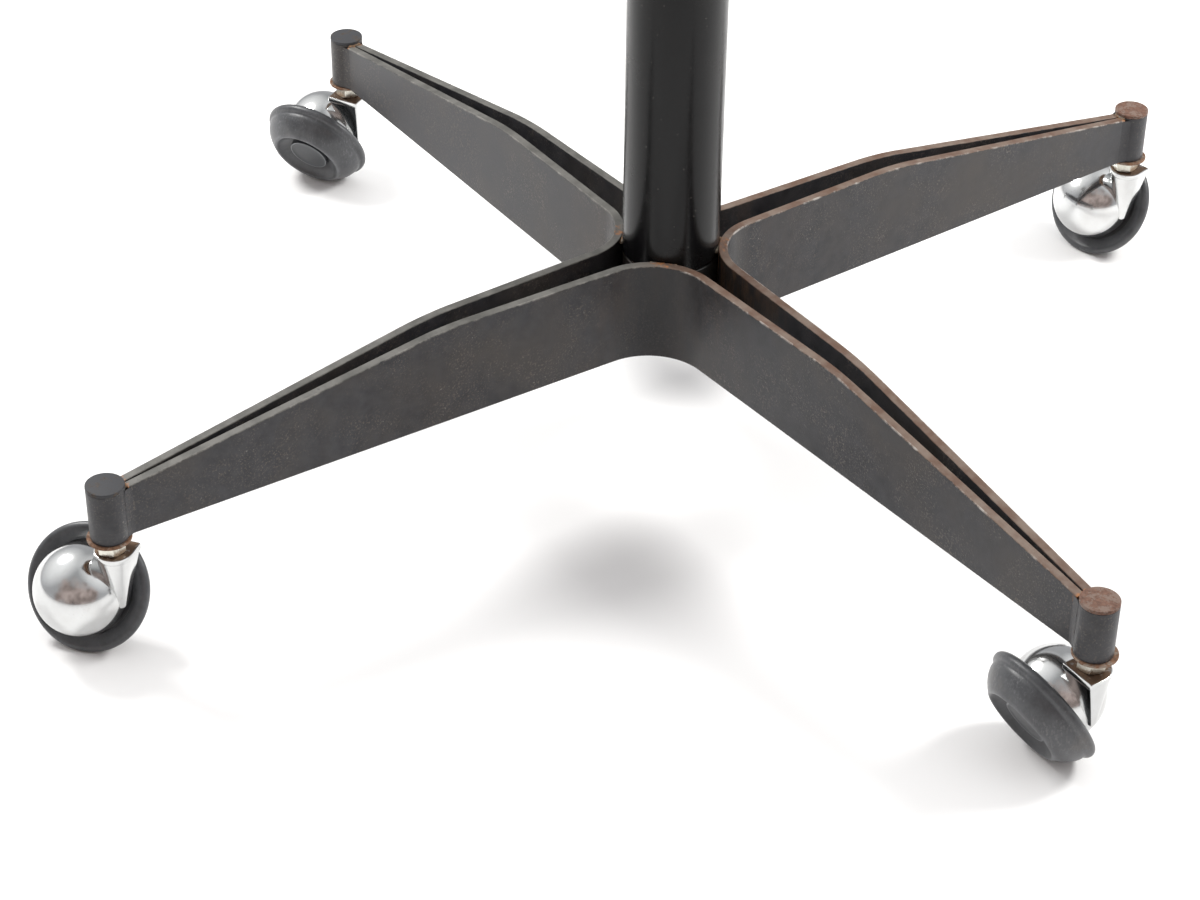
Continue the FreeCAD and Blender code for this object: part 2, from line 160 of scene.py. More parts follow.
def arm_paint():
    """Satin charcoal paint, speckled with rust, worn brown along the narrow edges, with painted shade where
    the ribs meet the column.
    """
    s = principled("arm_paint", IOR=1.44)
    mottle = s.noise(130, 5, 0.65)
    coat = s.mix(s.ramp(mottle, 0.35, 0.7), (0.017, 0.017, 0.020), (0.036, 0.036, 0.040))
    coat = s.mix(s.ramp(s.noise(16, 5, 0.6), 0.46, 0.70, 0, 0.65), coat, (0.046, 0.038, 0.031))
    clusters = s.ramp(s.noise(38, 3), 0.40, 0.62)
    speckle = s.times(s.ramp(s.noise(900, 3, 0.65), 0.54, 0.68), clusters)
    coat = s.mix(s.times(speckle, 0.75), coat, (0.108, 0.088, 0.070))
    chips = s.times(s.ramp(s.noise(560, 2, 0.5), 0.70, 0.75), clusters)
    coat = s.mix(s.times(chips, 0.55), coat, (0.22, 0.205, 0.185))
    film = s.times(s.attribute("near_hub"), s.ramp(s.noise(60, 5, 0.7, (1, 1, 0.3)), 0.40, 0.66))
    coat = s.mix(s.times(film, 0.5), coat, (0.072, 0.050, 0.036))
    # painted shade: the paint darkened to near black close to the column, where shade falls in the corner
    # of the bend
    coat = s.mix(s.ramp(s.attribute("near_hub"), 0.68, 0.95, 0, 0.75), coat, (0.010, 0.010, 0.011))
    streaks = s.ramp(s.noise(150, 5, 0.7, (1, 1, 0.18)), 0.44, 0.62)
    streaks = s.times(streaks, s.attribute("inside"))
    coat = s.mix(s.times(streaks, 0.8), coat, (0.20, 0.115, 0.060))
    brown = s.attribute("brown")
    breakup = s.plus(s.attribute("worn"), s.ramp(s.noise(230, 5, 0.7), 0.3, 0.7, -0.42, 0.42))
    edge_wear = s.ramp(breakup, 0.50, 0.72)
    patches = s.ramp(s.noise(90, 4, 0.6), 0.38, 0.62)
    grey_edge = s.mix(patches, (0.066, 0.064, 0.057), (0.118, 0.114, 0.104))
    brown_edge = s.mix(patches, (0.105, 0.058, 0.038), (0.160, 0.118, 0.092))
    color = s.mix(edge_wear, coat, s.mix(brown, grey_edge, brown_edge))
    flecks = s.ramp(s.noise(85, 6, 0.75), 0.50, 0.64, 0, 0.8)
    flecks = s.times(flecks, s.ramp(brown, 0.0, 1.0, 0.4, 1.0))
    color = s.mix(s.times(s.attribute("arris"), flecks), color, (0.42, 0.40, 0.37))
    spatter = s.ramp(s.noise(300, 4), 0.3, 0.7, -0.3, 0.3)
    color = s.mix(s.ramp(s.plus(s.attribute("rusty"), spatter), 0.5, 0.8), color, (0.30, 0.125, 0.045))
    roughness = s.plus(s.ramp(mottle, 0.3, 0.7, 0.34, 0.47), s.times(edge_wear, 0.12))
    s.bump(s.plus(s.noise(1500, 3, 0.6), s.times(speckle, 1.4)), 0.00006, 0.7)
    return s.finish(color, roughness)


def column_paint():
    """Gloss black paint with fine dust and a few chips."""
    s = principled("column_paint", IOR=1.33)
    specks = s.ramp(s.noise(620, 2, 0.5), 0.74, 0.77)
    color = s.mix(s.times(specks, 0.7), (0.0035, 0.0035, 0.004), (0.16, 0.15, 0.135))
    film = s.noise(45, 4, 0.6)
    color = s.mix(s.ramp(film, 0.45, 0.75, 0, 0.35), color, (0.016, 0.015, 0.014))
    spatter = s.ramp(s.noise(260, 4), 0.3, 0.7, -0.3, 0.3)
    rusty = s.ramp(s.plus(s.attribute("rusty"), spatter), 0.5, 0.8)
    color = s.mix(rusty, color, (0.26, 0.11, 0.04))
    roughness = s.plus(s.ramp(film, 0.35, 0.7, 0.20, 0.30), s.times(rusty, 0.4))
    s.bump(s.noise(700, 4, 0.6), 0.00004, 0.6)
    return s.finish(color, roughness)


def hub_paint():
    """Dull black paint, browned here and there."""
    s = principled("hub_paint", IOR=1.45)
    color = s.mix(s.ramp(s.noise(80, 5), 0.4, 0.75), (0.012, 0.012, 0.012), (0.045, 0.03, 0.02))
    s.bump(s.noise(800, 3), 0.0001, 0.6)
    return s.finish(color, s.ramp(s.noise(60, 3), 0.3, 0.7, 0.5, 0.7))


def worn_steel(name, clean, rusted, share, metallic=0.0, rough=(0.55, 0.75)):
    """Steel or old paint with rust over the given share of it."""
    s = principled(name, Metallic=metallic, IOR=1.38)
    patches = s.plus(s.noise(190, 6, 0.65), s.ramp(s.noise(900, 3, 0.6), 0.3, 0.7, -0.08, 0.08))
    rust = s.ramp(patches, 0.62 - 0.25 * share, 0.72 - 0.25 * share)
    deep = s.mix(s.ramp(s.noise(600, 4), 0.35, 0.65), rusted, tuple(0.55 * c for c in rusted))
    color = s.mix(rust, clean, deep)
    s.bump(s.plus(s.noise(1100, 4), rust), 0.00006, 0.8)
    return s.finish(color, s.ramp(rust, 0, 1, *rough))


def chrome():
    """Old nickel-chrome: clean edges, faint haze and pits, brown staining on the flat top of the horn."""
    s = principled("chrome", Metallic=1.0)
    haze = s.noise(70, 5, 0.65)
    pits = s.ramp(s.noise(1300, 2, 0.5), 0.70, 0.76)
    patches = s.ramp(s.noise(330, 5, 0.7), 0.3, 0.7, -0.40, 0.40)
    stain = s.ramp(s.plus(s.attribute("stained"), patches), 0.45, 0.85)
    color = s.mix(s.ramp(haze, 0.35, 0.75), (0.63, 0.64, 0.64), (0.55, 0.55, 0.545))
    color = s.mix(s.times(pits, 0.5), color, (0.22, 0.18, 0.15))
    color = s.mix(stain, color, (0.17, 0.115, 0.08))
    roughness = s.plus(s.ramp(haze, 0.4, 0.8, 0.12, 0.22), s.times(stain, 0.40))
    s.bump(s.plus(s.noise(60, 2, 0.4), s.times(pits, -0.4)), 0.00006, 0.35)
    return s.finish(color, roughness)


def tyre_rubber():
    """Hard dark rubber with a dusty film, scuffed on the band that runs on the floor, the ridge painted
    lighter as wear and a painted highlight, and painted shade in the dish round the cap.
    """
    s = principled("tyre_rubber", IOR=1.5)
    film = s.noise(85, 6, 0.7)
    worn = s.attribute("worn")
    color = s.mix(s.ramp(film, 0.35, 0.7), (0.040, 0.042, 0.046), (0.074, 0.077, 0.083))
    scuffs = s.ramp(s.noise(900, 5, 0.8, (1, 1, 0.35)), 0.52, 0.70)
    scuffs = s.times(scuffs, s.ramp(s.noise(60, 3), 0.42, 0.60, 0.15, 1.0))
    scuffed = s.times(scuffs, worn)
    color = s.mix(s.times(scuffed, 0.75), color, (0.20, 0.20, 0.21))
    dirt = s.ramp(s.noise(34, 5, 0.65), 0.54, 0.72, 0, 0.55)
    color = s.mix(s.times(dirt, worn), color, (0.115, 0.105, 0.095))
    # lighter band round the outer ridge: wear from rubbing and a painted highlight on its rounded edge
    rubbed_and_highlit = s.times(s.attribute("rubbed_and_highlit"), s.ramp(film, 0.3, 0.6))
    color = s.mix(rubbed_and_highlit, color, (0.13, 0.135, 0.145))
    # painted shade: the dish round the cap darkened where shade falls in the recess
    color = s.mix(s.attribute("shaded"), color, (0.018, 0.018, 0.020))
    roughness = s.plus(s.ramp(film, 0.3, 0.7, 0.30, 0.44), s.times(scuffed, 0.2))
    s.bump(s.plus(s.noise(650, 4, 0.6), s.times(scuffed, 0.8)), 0.00009, 0.6)
    return s.finish(color, roughness)


def cap_plastic():
    """Dark plastic, painted lighter along the rim: wear from rubbing and a painted highlight line."""
    s = principled("cap_plastic", IOR=1.5)
    film = s.noise(120, 5, 0.65)
    color = s.mix(s.ramp(film, 0.35, 0.7), (0.026, 0.029, 0.033), (0.046, 0.050, 0.055))
    # the rim painted lighter: a painted highlight line and wear from rubbing
    color = s.mix(s.times(s.attribute("rubbed_and_highlit"), 0.8), color, (0.19, 0.20, 0.21))
    s.bump(s.noise(900, 3), 0.00004, 0.5)
    return s.finish(color, s.ramp(film, 0.3, 0.7, 0.33, 0.5))


def plain(name, low, high, rough, metallic=0.0, scale=80, depth=0.00004):
    """A material with gentle variation, for pieces that are mostly hidden."""
    s = principled(name, Metallic=metallic)
    film = s.noise(scale, 5, 0.6)
    s.bump(s.noise(scale * 9, 3), depth, 0.6)
    return s.finish(s.mix(s.ramp(film, 0.35, 0.7), low, high), s.ramp(film, 0.3, 0.7, *rough))


MATERIALS = {
    "arm_paint": arm_paint(),
    "column_paint": column_paint(),
    "hub_paint": hub_paint(),
    "socket_cap_paint": worn_steel("socket_cap_paint", (0.038, 0.039, 0.043), (0.070, 0.054, 0.043), 0.25),
    "socket_cap_rust": worn_steel("socket_cap_rust", (0.165, 0.115, 0.092), (0.16, 0.085, 0.060), 0.8),
    "rusty_washer": worn_steel("rusty_washer", (0.24, 0.19, 0.15), (0.23, 0.125, 0.075), 0.9, 0.3,
                               (0.38, 0.7)),
    "weld": worn_steel("weld", (0.15, 0.13, 0.10), (0.28, 0.16, 0.085), 0.7, 0.0, (0.45, 0.72)),
    "zinc_steel": plain("zinc_steel", (0.74, 0.73, 0.66), (0.50, 0.47, 0.40), (0.22, 0.42), 1.0, 150),
    "chrome": chrome(),
    "bare_steel": plain("bare_steel", (0.52, 0.52, 0.52), (0.40, 0.40, 0.41), (0.22, 0.35), 1.0),
    "spring_steel": plain("spring_steel", (0.20, 0.20, 0.21), (0.12, 0.12, 0.13), (0.3, 0.45), 1.0),
    "bush_nylon": plain("bush_nylon", (0.72, 0.70, 0.64), (0.62, 0.59, 0.52), (0.4, 0.55)),
    "tyre_rubber": tyre_rubber(),
    "wheel_plastic": plain("wheel_plastic", (0.035, 0.035, 0.037), (0.055, 0.055, 0.057), (0.45, 0.6)),
    "cap_plastic": cap_plastic(),
}


# ================================================================ mesh tools

def new_object(name, points, faces, material, smooth=40, marks=None):
    """A mesh piece from points and faces, smooth-shaded below the given angle."""
    mesh = bpy.data.meshes.new(name)
    mesh.from_pydata([tuple(p) for p in points], [], faces)
    mesh.validate()
    for label, values in (marks or {}).items():
        layer = mesh.attributes.new(label, "FLOAT", "POINT")
        layer.data.foreach_set("value", values)
    mesh.materials.append(MATERIALS[material])
    piece = bpy.data.objects.new(name, mesh)
    bpy.context.scene.collection.objects.link(piece)
    tidy_normals(piece, smooth)
    return piece


def tidy_normals(piece, smooth):
    """Turn every face outwards, and shade the edges flatter than the given angle as smooth."""
    bpy.ops.object.select_all(action="DESELECT")
    piece.select_set(True)
    bpy.context.view_layer.objects.active = piece
    bpy.ops.object.mode_set(mode="EDIT")
    bpy.ops.mesh.select_all(action="SELECT")
    bpy.ops.mesh.normals_make_consistent(inside=False)
    bpy.ops.object.mode_set(mode="OBJECT")
    bpy.ops.object.shade_smooth_by_angle(angle=math.radians(smooth))


def fade(distance, reach):
    """1 at no distance, falling evenly to 0 at the reach."""
    return max(0.0, 1 - distance / reach)


def clamp(value):
    return min(1.0, max(0.0, value))


def metres(outline):
    """The same points or corners, from millimetres."""
    return [tuple(number * MM for number in point) for point in outline]


def arc(along, radius, size, start, stop, steps):
    """Points on part of a circle about (along, radius), angles in degrees."""
    angles = [math.radians(start + (stop - start) * i / steps) for i in range(steps + 1)]
    return [(along + size * math.cos(angle), radius + size * math.sin(angle)) for angle in angles]


def curve(a, b, c, steps):
    """Points on a curve from a to c that bends towards b, without its two ends."""
    shares = [i / steps for i in range(1, steps)]
    weights = [((1 - t) ** 2, 2 * t * (1 - t), t * t) for t in shares]
    return [tuple(u * a[k] + v * b[k] + w * c[k] for k in (0, 1)) for u, v, w in weights]


def skin(rings, count):
    """Faces that join rings of the same number of points and close both ends."""
    faces = []
    for i in range(rings - 1):
        for k in range(count):
            j = (k + 1) % count
            faces.append((i * count + k, i * count + j, (i + 1) * count + j, (i + 1) * count + k))
    faces.append(tuple(range(count)))
    faces.append(tuple((rings - 1) * count + k for k in reversed(range(count))))
    return faces


def rounded(corners, steps=5):
    """A closed outline of (x, y, radius) corners, each corner rounded to its radius."""
    points = []
    for i, (x, y, radius) in enumerate(corners):
        if radius <= 0:
            points.append((x, y))
            continue
        here = Vector((x, y))
        before = (Vector(corners[i - 1][:2]) - here).normalized()
        after = (Vector(corners[(i + 1) % len(corners)][:2]) - here).normalized()
        half = before.angle(after) / 2
        centre = here + (before + after).normalized() * (radius / math.sin(half))
        first = here + before * (radius / math.tan(half)) - centre
        turn = math.pi - 2 * half
        if before.x * after.y - before.y * after.x > 0:
            turn = -turn
        for k in range(steps + 1):
            arm = first.copy()
            arm.rotate(Matrix.Rotation(turn * k / steps, 2))
            points.append(tuple(centre + arm))
    return points


def lathe(name, outline, centre, axis, material, segments=96, marks=None, wobble=0.0):
    """Turn a closed outline of (along, radius) points about an axis; an outline may touch the axis.

    Each mark's rule gives a value for a point of the outline, and wobble makes it slightly out of round.
    """
    axis = Vector(axis).normalized()
    side = axis.orthogonal().normalized()
    other = axis.cross(side)
    points, faces, rings = [], [], []
    values = {label: [] for label in (marks or {})}
    for along, radius in outline:
        count = 1 if radius < ON_AXIS else segments
        rings.append((len(points), count))
        for k in range(count):
            angle = 2 * math.pi * k / segments
            outward = side * math.cos(angle) + other * math.sin(angle)
            swell = 1 + wobble * math.sin(3 * angle + 40 * radius)
            points.append(Vector(centre) + axis * along + outward * (radius * swell))
            for label, rule in (marks or {}).items():
                values[label].append(rule(along, radius))
    for i, (first, count) in enumerate(rings):
        after, count_after = rings[(i + 1) % len(rings)]
        for k in range(segments):
            j = (k + 1) % segments
            if count == 1 and count_after == 1:
                break
            if count == 1:
                faces.append((first, after + k, after + j))
            elif count_after == 1:
                faces.append((first + k, after, first + j))
            else:
                faces.append((first + k, after + k, after + j, first + j))
    return new_object(name, points, faces, material, marks=values)


WELD_SMOOTH = 60        # a weld is shaded smooth below this angle, degrees
BEAD_PITCH = 0.0022     # from one ripple to the next, metres
BEAD_SIDES = 12
BEAD_FLATNESS = 0.8     # a bead's height as a share of its width


def bead(name, path, radius, seed):
    """A weld bead: a lumpy round-ended run of overlapping ripples along a path."""
    draw = random.Random(seed)
    length = sum((b - a).length for a, b in zip(path, path[1:]))
    steps = max(8, int(length / (BEAD_PITCH / 5)))
    points = []
    for i in range(steps + 1):
        t = i / steps
        position, direction = along_path(path, t * length)
        side = direction.orthogonal().normalized()
        other = direction.cross(side)
        end_share = fade(min(t, 1 - t) * length, 1.3 * radius)
        end = min(1.0, math.sqrt(max(0.0, 1 - end_share ** 2)) + 0.03)
        ripple = 1 + 0.10 * abs(math.sin(math.pi * t * length / BEAD_PITCH)) + draw.uniform(-0.02, 0.02)
        for k in range(BEAD_SIDES):
            angle = 2 * math.pi * k / BEAD_SIDES
            lump = radius * end * ripple * (1 + 0.06 * math.sin(2 * angle + 9 * t))
            outward = side * math.cos(angle) + other * math.sin(angle) * BEAD_FLATNESS
            points.append(position + outward * lump)
    return new_object(name, points, skin(steps + 1, BEAD_SIDES), "weld", WELD_SMOOTH)


def along_path(path, distance):
    """The point at a distance along a path of straight pieces, and the direction there."""
    for a, b in zip(path, path[1:]):
        length = (b - a).length
        if distance <= length + 1e-9:
            return a + (b - a) * (distance / length), (b - a).normalized()
        distance -= length
    return path[-1].copy(), (path[-1] - path[-2]).normalized()


# ================================================================ ribs

TIP_RADIUS = abs(joints["caster_swivel_right"]["pos_m"][0])
COLUMN_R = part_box("column_tube")[1].x
SOCKET_R = (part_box("socket_right")[1].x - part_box("socket_right")[0].x) / 2
RIB_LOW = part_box("rib_rear_right")[0].z
RIB_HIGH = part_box("rib_rear_right")[1].z
RIB_THICKNESS = 4.76 * MM
RIB_TIP_HEIGHT = 26.2 * MM      # height of the bar at the tip
KNEE_RADIUS = 145 * MM          # where the top edge starts to fall, from the column's axis
KNEE_BLEND = 15 * MM            # half the length of the rounded knee
FACE_OFFSET_HUB = 13.1 * MM     # outer face from the arm's middle plane, at the column's axis
FACE_OFFSET_TIP = 4.86 * MM     # the same at the tip
RIB_EDGE = 0.45 * MM            # rounding of the bar's corners
RIB_END_GAP = 0.1 * MM          # between the bar's end and the socket
STATION_GAP = 3.0 * MM          # between cross-sections along a leg
BEND_STEPS = 26
FACE_SHARES = (0.012, 0.1, 0.35, 0.65, 0.9, 0.988)      # extra points up each face of a section
EDGE_SHARES = (0.1, 0.5, 0.9)                           # and across its top and bottom
DENT_DEPTH = 0.03 * MM
RIB_NAMES = ("rear_right", "rear_left", "front_left", "front_right")    # a quarter turn apart


def rib_top(distance):
    """Height of the rib's top edge at a distance from the column's axis."""
    slope = (RIB_HIGH - RIB_LOW - RIB_TIP_HEIGHT) / (TIP_RADIUS - KNEE_RADIUS)
    past = distance - KNEE_RADIUS
    if past <= -KNEE_BLEND:
        return RIB_HIGH
    if past >= KNEE_BLEND:
        return RIB_HIGH - slope * past
    return RIB_HIGH - slope * (past + KNEE_BLEND) ** 2 / (4 * KNEE_BLEND)


def bend_geometry():
    """Slope of the legs, radius of the visible face in the bend, and the bend's centre."""
    slope = (FACE_OFFSET_HUB - FACE_OFFSET_TIP) / TIP_RADIUS
    length = math.hypot(1, slope)
    lean = (1 + slope) / math.sqrt(2)
    inside = ((COLUMN_R + RIB_THICKNESS) * lean - FACE_OFFSET_HUB) / (length - lean)
    centre = (COLUMN_R + RIB_THICKNESS + inside) / math.sqrt(2)
    return slope, inside, centre


def rib_stations():
    """Points on the rib's middle line in plan with the direction across it, from tip to tip."""
    slope, inside, centre = bend_geometry()
    lean = math.atan(slope)
    middle_r = inside + RIB_THICKNESS / 2
    end = TIP_RADIUS - SOCKET_R - RIB_END_GAP
    bend_start = Vector((centre - middle_r * math.sin(lean), centre - middle_r * math.cos(lean)))
    across = Vector((math.sin(lean), math.cos(lean)))
    tip = Vector((end, bend_start.y - (end - bend_start.x) * math.tan(lean)))
    count = int((tip - bend_start).length / STATION_GAP)
    leg = [(tip.lerp(bend_start, i / count), across) for i in range(count)]
    sweep = math.pi / 2 - 2 * lean
    bend = []
    for i in range(BEND_STEPS + 1):
        angle = -math.pi / 2 - lean - sweep * i / BEND_STEPS
        outward = Vector((math.cos(angle), math.sin(angle)))
        bend.append((Vector((centre, centre)) + outward * middle_r, -outward))
    other_leg = [(Vector((p.y, p.x)), Vector((a.y, a.x))) for p, a in reversed(leg)]
    return leg + bend + other_leg


def rib_section(low, high):
    """Corner-rounded upright section of the bar: (across, height) points going round it."""
    half = RIB_THICKNESS / 2
    corners = [(-half, low), (half, low), (half, high), (-half, high)]
    ring = rounded([(*corner, RIB_EDGE) for corner in corners], 3)
    section = []
    for i, (x, z) in enumerate(ring):
        section.append((x, z))
        next_x, next_z = ring[(i + 1) % len(ring)]
        if abs(next_z - z) > 4 * RIB_EDGE:
            shares = FACE_SHARES
        elif abs(next_x - x) > 4 * RIB_EDGE:
            shares = EDGE_SHARES
        else:
            shares = ()
        section += [(x + (next_x - x) * t, z + (next_z - z) * t) for t in shares]
    return section


def rib_wear(point, x, z, top, from_column, from_socket):
    """How worn or rusty the paint is at a point, x across the bar (above 0 on its outer face); near_hub
    also carries the painted shade by the column.
    """
    below_top = top - z
    near_hub = fade(from_column, 70 * MM)
    right_arm = clamp((point.x - abs(point.y)) / (10 * MM))
    outer_corner = x > RIB_THICKNESS / 2 - 1.1 * RIB_EDGE and below_top < 1.1 * RIB_EDGE
    return {
        "worn": max(fade(below_top, 0.9 * MM), 0.45 * fade(z - RIB_LOW, 0.5 * MM)),
        "rusty": max(0.75 * fade(from_column, 9 * MM) * fade(below_top, 3 * MM),
                     0.8 * fade(from_socket, 5 * MM) * fade(below_top, 12 * MM)),
        "near_hub": near_hub,
        "inside": near_hub * right_arm if x < 0 else 0.0,
        "brown": clamp(0.5 + (point.x + point.y) / (50 * MM)),
        "arris": 1.0 if outer_corner else 0.0,
    }


def make_rib(name, angle, seed):
    """A flat bar on edge, bent round the column, with small dents along its top."""
    draw = random.Random(seed)
    turn = Matrix.Rotation(math.radians(angle), 3, "Z")
    stations = rib_stations()
    points, wear = [], []
    dent = 0.0
    for position, across in stations:
        reach = max(position.x, position.y)
        from_socket = TIP_RADIUS - SOCKET_R - reach
        top = rib_top(reach)
        dent = 0.8 * dent + draw.uniform(-1, 1) * DENT_DEPTH
        for x, z in rib_section(RIB_LOW, top):
            lowered = max(0.0, dent) if top - z < 1 * MM else 0.0
            plan = position + across * x
            point = turn @ Vector((plan.x, plan.y, z - lowered))
            points.append(point)
            wear.append(rib_wear(point, x, z, top, position.length - COLUMN_R, from_socket))
    marks = {label: [values[label] for values in wear] for label in wear[0]}
    faces = skin(len(stations), len(points) // len(stations))
    rib = new_object("Rib." + name, points, faces, "arm_paint", 35, marks)
    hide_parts("rib_" + name)
    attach(rib, "base")


for number, rib_name in enumerate(RIB_NAMES):
    make_rib(rib_name, 90 * number, 11 + number)


# ================================================================ column, hub and their welds

COLUMN_WALL = 2.5 * MM
HUB_BORE_R = 8 * MM
HUB_WELD_R = 1.25 * MM
HUB_WELD_SWEEP = 17             # half the angle a bead covers round the column, degrees
HUB_WELD_DROOP = 0.6 * MM       # drop of its two ends


def column_and_hub():
    """The tube, and the darker hub under it with a spigot inside the tube."""
    low, high = (corner.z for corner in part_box("column_tube"))
    bore = COLUMN_R - COLUMN_WALL
    body = [(low, COLUMN_R, 2.2 * MM), (high, COLUMN_R, 0.6 * MM),
            (high, bore, 0.4 * MM), (low, bore, 0.6 * MM)]
    column = lathe("Column", rounded(body, 8), (0, 0, 0), UP, "column_paint", 160,
                   {"rusty": lambda along, radius: 0.75 * fade(along - low, 2.5 * MM)})
    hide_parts("column_tube")
    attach(column, "base")

    bottom, spigot_top = (corner.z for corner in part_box("hub_core"))
    shoulder = low - 0.05 * MM
    hub_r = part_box("hub_core")[1].x
    spigot_r = bore - 0.1 * MM
    outline = [(bottom, HUB_BORE_R, 0.5 * MM), (bottom, hub_r, 1.2 * MM),
               (shoulder, hub_r, 0.5 * MM), (shoulder, spigot_r, 0),
               (spigot_top, spigot_r, 0.8 * MM), (spigot_top, HUB_BORE_R, 0.5 * MM)]
    hub = lathe("Hub", rounded(outline, 5), (0, 0, 0), UP, "hub_paint", 128)
    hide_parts("hub_core")
    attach(hub, "base")


def hub_welds():
    """A short bead across the top of each rib's bend where it touches the column."""
    for number in range(4):
        path = []
        for i in range(13):
            share = i / 6 - 1
            angle = math.radians(45 + 90 * number + HUB_WELD_SWEEP * share)
            outward = Vector((math.cos(angle), math.sin(angle), 0))
            height = RIB_HIGH - 1.3 * MM - HUB_WELD_DROOP * abs(share)
            path.append(outward * (COLUMN_R + 0.35 * MM) + UP * height)
        weld = bead("Hub_weld.%d" % number, path, HUB_WELD_R, 30 + number)
        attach(weld, "base")


column_and_hub()
hub_welds()


# ================================================================ sockets

STEM_BORE_R = 5.05 * MM
WASHER_BORE_R = 6 * MM
RUSTY_CAPS = ("right", "rear")
TIP_BEAD_HALF = 4.4             # half the length of the bead across the top, mm
TIP_BEAD_R = 1.3 * MM
# The filled corner beside a socket, seen from above: mm inwards from the socket's axis and mm sideways.
CORNER_WELD = ((12.6, 4.3), (12.6, 4.98), (11.2, 5.22), (9.8, 5.55), (8.6, 5.95), (7.4, 6.45), (6.6, 6.95),
               (6.2, 6.3))


def tip(arm):
    """The floor point under an arm's socket."""
    x, y, _ = joints["caster_swivel_" + arm]["pos_m"]
    return Vector((x, y, 0))


def make_socket(arm):
    """The upright tube at an arm's tip, the disc that closes it and the loose washer under it."""
    centre = tip(arm)
    low, high = (corner.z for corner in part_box("socket_" + arm))

    def worn(along, radius):
        return 0.55 * fade(high - along, 0.8 * MM) + 0.4 * fade(along - low, 0.8 * MM)

    outline = [(low, STEM_BORE_R, 0.4 * MM), (low, SOCKET_R, 0.5 * MM),
               (high, SOCKET_R, 0.35 * MM), (high, STEM_BORE_R, 0)]
    socket = lathe("Socket." + arm, rounded(outline, 5), centre, UP, "arm_paint", 96, {"worn": worn})
    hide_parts("socket_" + arm)

    cap_low, cap_high = (corner.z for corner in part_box("socket_cap_" + arm))
    disc = [(cap_low, 0, 0), (cap_low, SOCKET_R, 0.15 * MM),
            (cap_high, SOCKET_R, 0.3 * MM), (cap_high, 0, 0)]
    kind = "socket_cap_rust" if arm in RUSTY_CAPS else "socket_cap_paint"
    cap = lathe("Socket_cap." + arm, rounded(disc, 5), centre, UP, kind, 96)
    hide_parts("socket_cap_" + arm)

    washer_low, washer_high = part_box("washer_" + arm)
    middle = (washer_low + washer_high) / 2
    washer_r = (washer_high.x - washer_low.x) / 2
    ring = [(washer_low.z, WASHER_BORE_R, 0.2 * MM), (washer_low.z, washer_r, 0.6 * MM),
            (washer_high.z, washer_r, 0.45 * MM), (washer_high.z, WASHER_BORE_R, 0.2 * MM)]
    washer = lathe("Washer." + arm, rounded(ring, 4), (middle.x, middle.y, 0), UP, "rusty_washer", 72)
    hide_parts("washer_" + arm)
    for piece in (socket, cap, washer):
        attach(piece, "base")


def corner_weld(name, plan, low, high, seed):
    """A painted weld that fills an upright corner: a plan outline carried up with small ripples."""
    draw = random.Random(seed)
    middle = sum(plan, Vector((0, 0, 0))) / len(plan)
    steps = int((high - low) / (1.1 * MM))
    points = []
    for i in range(steps + 1):
        ends = 0.75 if i in (0, steps) else 1.0
        swell = ends * (1 + 0.05 * math.sin(2.1 * i) + draw.uniform(-0.035, 0.035))
        for corner in plan:
            points.append(middle + (corner - middle) * swell + UP * (low + (high - low) * i / steps))
    return new_object(name, points, skin(steps + 1, len(plan)), "arm_paint", WELD_SMOOTH)


def tip_welds(arm, seed):
    """Filled corners between the rib ends and the socket, and a short rusty bead across the top."""
    centre = tip(arm)
    inward = -centre.normalized()
    side = inward.cross(UP)
    top = rib_top(TIP_RADIUS - SOCKET_R)
    for number, sign in enumerate((1, -1)):
        plan = [centre + (inward * along + side * sign * across) * MM for along, across in CORNER_WELD]
        weld = corner_weld("Tip_weld.%s.%d" % (arm, number), plan, RIB_LOW + 0.5 * MM, top - 0.4 * MM,
                           seed + number)
        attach(weld, "base")
    corner = centre + inward * (SOCKET_R - 0.7 * MM) + UP * (top - 0.3 * MM)
    path = [corner + side * (-TIP_BEAD_HALF + 2 * TIP_BEAD_HALF * i / 8) * MM for i in range(9)]
    weld = bead("Tip_weld.%s.top" % arm, path, TIP_BEAD_R, seed + 2)
    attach(weld, "base")


for number, arm_name in enumerate(ARMS):
    make_socket(arm_name)
    tip_welds(arm_name, 50 + 5 * number)


# ================================================================ casters

BALL_R = 23.29 * MM
BALL_WALL = 2.0 * MM
LIP_OFFSET = 8.9 * MM           # the wheel's lip plane from the ball's centre, along the axle
HOOD_RIM = -0.5 * MM            # the ball's open rim, along the axle from the lip plane
SHELL_STEPS = 44

# The wheel's outlines: mm along the axle from the lip plane, then mm out from the axle.
CORE_SIDES = (2.55, 9.45)       # inner and outer walls of the room for the core inside the tyre
CORE_R = 17.5
CAP_SEAT_R = 12.3
HOOD_GAP = 0.3                  # between the ball and the tyre's recess
TYRE_LIP = (0, 29.8)            # centre of the rounded lip nearest the ball
TYRE_LIP_R = 2.8
TYRE_GROOVE = (4.3, 30.3)
TYRE_RIDGE = (13.6, 21.0)       # centre of the rounded ridge round the outer face
TYRE_RIDGE_R = 1.55
TYRE_WOBBLE = 0.0008            # how far out of round, as a share of the radius
CORE_OUTLINE = ((-5.0, 4.6, 0.3), (-5.0, 9.0, 0.8), (2.6, 10.5, 0.8), (2.6, 17.45, 0.3), (9.4, 17.45, 0.3),
                (9.4, 4.6, 0.3))                        # the third number rounds the corner
CAP_SKIRT = [(9.45, 11.0), (9.45, 12.15), (11.9, 12.15)]
CAP_DISH = [(12.53, 11.2), (12.38, 10.6), (12.16, 9.9), (12.12, 8.0), (12.08, 5.0), (12.05, 2.4),
            (12.05, 0.0)]
CAP_INSIDE = [(11.4, 0.0), (11.4, 10.2), (10.9, 10.9)]


